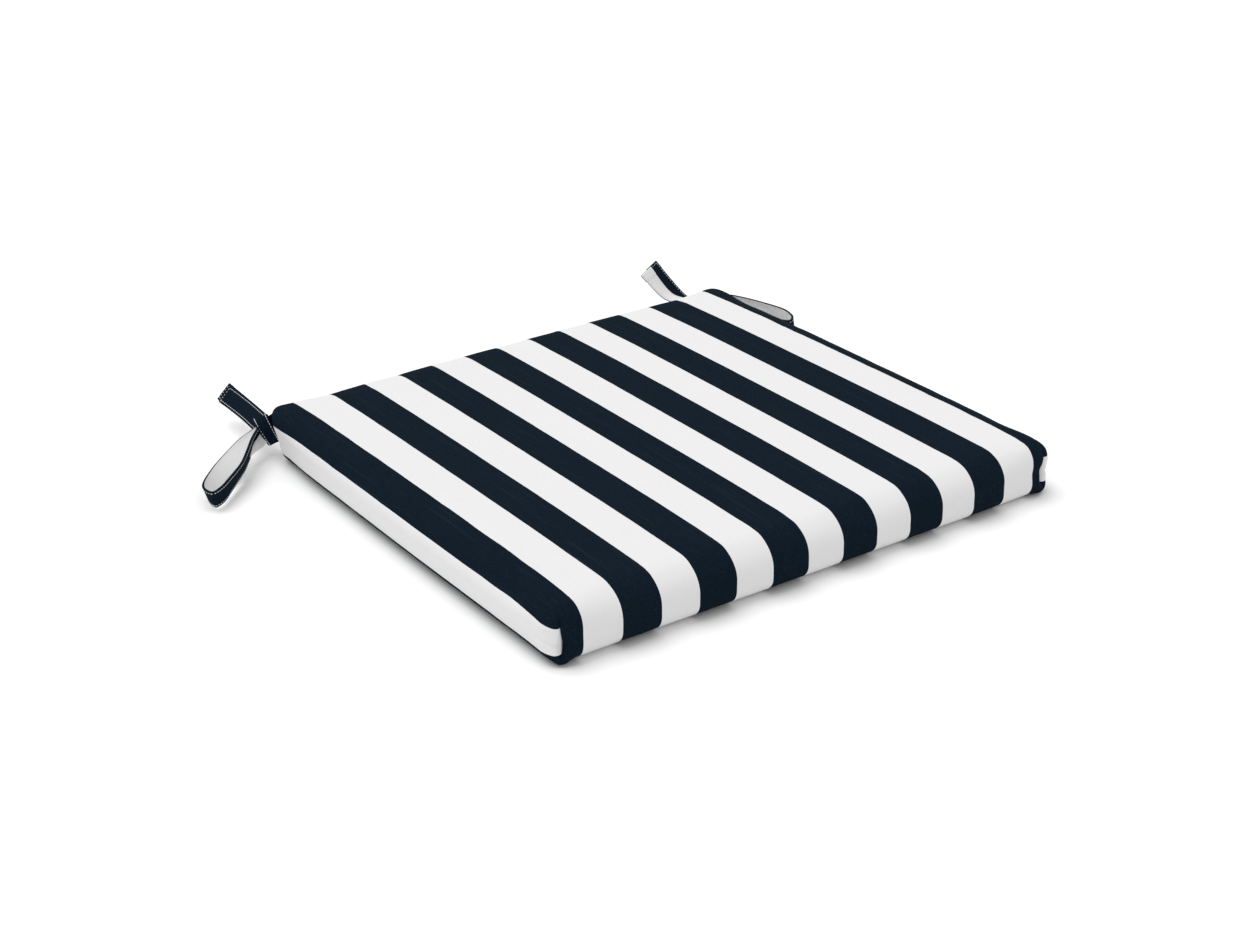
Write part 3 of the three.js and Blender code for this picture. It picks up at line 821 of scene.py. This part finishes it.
# Tie meshes
def catmull(points, count):
    """count + 1 points at even lengths on a centripetal curve, their tangents and its length."""
    p = np.asarray(points, float)
    ends = np.vstack([2 * p[0] - p[1], p, 2 * p[-1] - p[-2]])
    fine = []
    for i in range(1, len(ends) - 2):
        q0, q1, q2, q3 = ends[i - 1:i + 3]
        d0, d1, d2 = (np.linalg.norm((b - a)[:3]) ** 0.5 for a, b in ((q0, q1), (q1, q2), (q2, q3)))
        t1 = ((q1 - q0) / d0 - (q2 - q0) / (d0 + d1) + (q2 - q1) / d1) * d1
        t2 = ((q2 - q1) / d1 - (q3 - q1) / (d1 + d2) + (q3 - q2) / d2) * d1
        s = np.linspace(0, 1, CURVE_STEPS, endpoint=i == len(ends) - 3)[:, None]
        square = 3 * (q2 - q1) - 2 * t1 - t2
        cube = 2 * (q1 - q2) + t1 + t2
        fine.append(q1 + t1 * s + square * s ** 2 + cube * s ** 3)
    fine = np.vstack(fine)
    step = np.linalg.norm(np.diff(fine[:, :3], axis=0), axis=1)
    run = np.concatenate([[0], np.cumsum(step)])
    at = np.linspace(0, run[-1], count + 1)
    even = np.stack([np.interp(at, run, fine[:, k]) for k in range(fine.shape[1])], 1)
    tangent = np.gradient(even[:, :3], axis=0)
    tangent /= np.linalg.norm(tangent, axis=1)[:, None]
    return even, tangent, run[-1]


def strip_path(strip):
    """Middle line, across, out, share of the width and run along a strip, in mm."""
    stations = np.array([s if len(s) == 7 else [*s, 1] for s in strip["stations"]], float)
    rough = np.linalg.norm(np.diff(stations[:, :3], axis=0), axis=1).sum()
    count = max(STRIP_LEAST_STEPS, int(rough / STRIP_PITCH))
    even, ahead, length = catmull(stations, count)
    across = even[:, 3:6]
    gather = even[:, 6]
    across = across - (across * ahead).sum(1)[:, None] * ahead
    across /= np.linalg.norm(across, axis=1)[:, None]
    out = np.cross(ahead, across)
    middle = even[:, :3] + across * (gather * TIE_WIDTH / 2)[:, None]
    return middle, across, out, gather, np.linspace(0, length, len(middle))


def sway(run, across):
    """How far the cloth lies off the strip's middle plane, as it isn't quite flat."""
    return SWAY * math.sin(run / SWAY_LENGTH) * (1 - (across / (TIE_WIDTH / 2)) ** 2)


def strip_rings(strip):
    """Closed sections along a strip: across its upper face, then back across its lower one."""
    middle, across, out, gather, along = strip_path(strip)
    to_end = along[-1] - along
    rings = []
    for i, m in enumerate(middle):
        hem = 0.0
        if strip["kind"] == "tail":
            hem = 1 - smooth(to_end[i], HEM_LENGTH - HEM_RAMP, HEM_LENGTH + HEM_RAMP)
        wide = gather[i] * (1 + HEM_SPREAD * hem)
        half = TIE_THICKNESS / 2 + HEM_EXTRA / 2 * hem
        upper, lower = [], []
        for a, h in zip(SECTION, SECTION_HALF):
            at = m + across[i] * a * wide
            off = 0 if strip["kind"] == "root" else sway(along[i], a)
            upper.append(at + out[i] * (off + h * half))
            lower.append(at + out[i] * (off - h * half))
        rings.append(upper + lower[::-1])
    return rings


def is_pale(strip, k):
    """Whether face k round a section is pale. The pale side keeps a navy rim at one edge."""
    columns = len(SECTION)
    if k in (columns - 1, 2 * columns - 1):
        return k == columns - 1
    on_upper = k < columns - 1
    first = k if on_upper else 2 * columns - 2 - k
    middle = (SECTION[first] + SECTION[first + 1]) / 2
    return on_upper == (strip["navy"] < 0) and middle > -RIM_FROM


def add_strip(bm, strip):
    """A doubled strip as one closed form."""
    verts = [[bm.verts.new(Vector(p) * MM) for p in ring] for ring in strip_rings(strip)]
    count = len(verts[0])
    for a, b in zip(verts, verts[1:]):
        for k in range(count):
            j = (k + 1) % count
            face = bm.faces.new((a[k], a[j], b[j], b[k]))
            face.smooth = True
            face.material_index = int(is_pale(strip, k))
    for ring, flip in ((verts[0], False), (verts[-1], True)):
        for k in range(len(SECTION) - 1):
            m = count - 1 - k
            quad = (ring[k], ring[k + 1], ring[m - 1], ring[m])
            bm.faces.new(quad if flip else quad[::-1])


def band_axes(tie):
    """The middle of a knot band, and its ways up, along the band and towards its side."""
    up = np.array(tie["upright"], float)
    up /= np.linalg.norm(up)
    along = np.array(tie["axis"], float)
    along -= up * (along @ up)
    along /= np.linalg.norm(along)
    return np.array(tie["knot"], float), up, along, np.cross(along, up)


def band_point(tie, s, t, high, deep):
    """A point at share s along a knot band, from -1 to 1, and angle t round it."""
    centre, up, along, side = band_axes(tie)
    reach = s + tie["flare"] * math.sin(t) * (1 + s) / 2
    middle = centre + along * reach * tie["length"] / 2
    return middle + up * high * math.sin(t) - side * deep * math.cos(t)


def add_band(bm, tie):
    """The strip's own turn round the knot: a waisted sleeve with thick, rolled edges."""
    outer, inner = [], []
    for i in range(BAND_ROWS + 1):
        s = 2 * i / BAND_ROWS - 1
        rolled = BAND_ROLL * (1 - math.sqrt(max(0, 1 - abs(s) ** BAND_ROLL_POWER)))
        size = 1 - BAND_WAIST * (1 - s * s)
        ring_out, ring_in = [], []
        for k in range(BAND_STEPS):
            t = 2 * math.pi * k / BAND_STEPS
            crease = sum(h * math.sin(turns * t + lean * s) for h, turns, lean in BAND_CREASES)
            high = tie["half_height"] * size - rolled + crease
            deep = BAND_HALF_DEPTH * size - rolled + crease
            ring_out.append(band_point(tie, s, t, high, deep))
            ring_in.append(band_point(tie, s, t, high - BAND_WALL, deep - BAND_WALL))
        outer.append(ring_out)
        inner.append(ring_in)
    verts = [[bm.verts.new(Vector(p) * MM) for p in ring] for ring in outer + inner[::-1]]
    for i, a in enumerate(verts):
        b = verts[(i + 1) % len(verts)]
        for k in range(BAND_STEPS):
            j = (k + 1) % BAND_STEPS
            bm.faces.new((a[k], b[k], b[j], a[j])).smooth = True


def stitch_places(strip, length):
    """Rows of (run along, place across, whether it lies across) of a strip's stitches."""
    inset = TIE_WIDTH / 2 - STITCH_INSET
    last = length - STITCH_INSET if strip["kind"] == "tail" else length
    places = [
        (d, a, False)
        for a in (-inset, inset)
        for d in np.arange(STITCH_PITCH / 2, last, STITCH_PITCH)
    ]
    if strip["kind"] == "tail":
        row = np.arange(-inset + STITCH_PITCH / 2, inset, STITCH_PITCH)
        places += [(length - STITCH_INSET, a, True) for a in row]
    return places


def add_stitch(bm, centre, way, out):
    """One thread stitch: a flattened rod, pinched into the cloth at both ends."""
    side = np.cross(way, out)
    rows = []
    for s in STITCH_ROWS:
        size = STITCH_RADIUS * (1 - STITCH_TAPER * s * s)
        middle = centre + way * s * STITCH_LENGTH / 2
        ring = []
        for k in range(STITCH_SIDES):
            t = 2 * math.pi * k / STITCH_SIDES
            lift = size * math.sin(t) - STITCH_SINK * s * s
            p = middle + side * size * math.cos(t) + out * lift
            ring.append(bm.verts.new(Vector(p) * MM))
        rows.append(ring)
    for a, b in zip(rows, rows[1:]):
        for k in range(STITCH_SIDES):
            j = (k + 1) % STITCH_SIDES
            bm.faces.new((a[k], a[j], b[j], b[k])).smooth = True
    bm.faces.new(rows[0][::-1])
    bm.faces.new(rows[-1])


def in_knot(tie, point):
    """Whether a point of a strip lies within its knot band or close to it."""
    centre, up, along, side = band_axes(tie)
    p = point - centre
    share = (p @ up / tie["half_height"]) ** 2 + (p @ side / BAND_HALF_DEPTH) ** 2
    within = abs(p @ along) < tie["length"] / 2 + STITCH_CLEAR_OF_BAND
    return within and share < STITCH_CLEAR_ROUND_BAND


def add_strip_stitches(bm, tie, strip):
    """Rows of stitches on both faces of a strip, but for what the knot hides."""
    middle, across, out, gather, along = strip_path(strip)
    length = along[-1]
    for d, a, crosswise in stitch_places(strip, length):
        m, c, o = (
            np.array([np.interp(d, along, v[:, k]) for k in range(3)])
            for v in (middle, across, out)
        )
        c /= np.linalg.norm(c)
        o /= np.linalg.norm(o)
        at = m + c * a * np.interp(d, along, gather)
        if in_knot(tie, at):
            continue
        way = c if crosswise else np.cross(c, o)
        hem = strip["kind"] == "tail" and length - d < HEM_LENGTH
        bed = STITCH_BED * (TIE_THICKNESS + (HEM_EXTRA if hem else 0)) / 2
        for face in (1, -1):
            off = sway(d, a) + face * (bed + STITCH_OVER_BED)
            add_stitch(bm, at + o * off, way, o * face)


def add_band_stitches(bm, tie):
    """A row of stitches near each edge of a knot band."""
    _, up, along, side = band_axes(tie)
    high = tie["half_height"] - BAND_STITCH_SINK
    deep = BAND_HALF_DEPTH - BAND_STITCH_SINK
    for s in BAND_STITCH_ROWS:
        for k in range(BAND_STITCHES):
            t = 2 * math.pi * k / BAND_STITCHES
            out = up * math.sin(t) / high - side * math.cos(t) / deep
            out /= np.linalg.norm(out)
            centre = band_point(tie, s, t, high, deep) + out * BAND_STITCH_OVER
            add_stitch(bm, centre, np.cross(along, out), out)


def finish_mesh(bm, name, materials):
    bmesh.ops.recalc_face_normals(bm, faces=bm.faces)
    mesh = bpy.data.meshes.new(name)
    bm.to_mesh(mesh)
    bm.free()
    return new_object(name, mesh, materials)


def add_tie(name, tie, navy, white, thread):
    """A tie's strips and knot band as one piece, with its stitches as another."""
    bm = bmesh.new()
    for strip in tie["strips"]:
        add_strip(bm, strip)
    add_band(bm, tie)
    cloth = finish_mesh(bm, name + "_cloth", [navy, white])
    bm = bmesh.new()
    for strip in tie["strips"]:
        if strip["kind"] != "root":
            add_strip_stitches(bm, tie, strip)
    add_band_stitches(bm, tie)
    stitches = finish_mesh(bm, name + "_stitches", [thread])
    for piece in (cloth, stitches):
        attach(piece, "root")
    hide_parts(name)


# Floor, sky and sun
def add_floor():
    """A wide white floor."""
    bm = bmesh.new()
    bmesh.ops.create_grid(bm, x_segments=1, y_segments=1, size=FLOOR_HALF * MM)
    mesh = bpy.data.meshes.new("floor")
    bm.to_mesh(mesh)
    bm.free()
    n = Nodes("floor_white")
    n.shader.inputs["Base Color"].default_value = (*FLOOR_WHITE, 1)
    n.shader.inputs["Roughness"].default_value = FLOOR_ROUGHNESS
    n.shader.inputs["Specular IOR Level"].default_value = FLOOR_SHINE
    floor = new_object("floor", mesh, [n.material])


def add_light():
    """An even white sky and one wide, soft sun from above."""
    world = bpy.data.worlds.new("world")
    world.use_nodes = True
    sky = world.node_tree.nodes["Background"]
    sky.inputs["Color"].default_value = (1, 1, 1, 1)
    sky.inputs["Strength"].default_value = SKY
    bpy.context.scene.world = world
    data = bpy.data.lights.new("key", "SUN")
    data.energy = KEY
    data.angle = math.radians(KEY_SPREAD)
    key = bpy.data.objects.new("key", data)
    bpy.context.scene.collection.objects.link(key)
    key.rotation_euler = (-Vector(KEY_FROM)).to_track_quat("-Z", "Y").to_euler()


add_camera()
bpy.context.scene.view_settings.view_transform = "Standard"
add_light()
add_floor()
navy_cloth = tie_cloth("tie_navy", False)
white_cloth = tie_cloth("tie_white", True)
thread = stitch_thread()
add_cushion([cover_cloth("cover_striped", False), cover_cloth("cover_side", True)])
for tie_name, tie_route in TIES.items():
    add_tie(tie_name, tie_route, navy_cloth, white_cloth, thread)
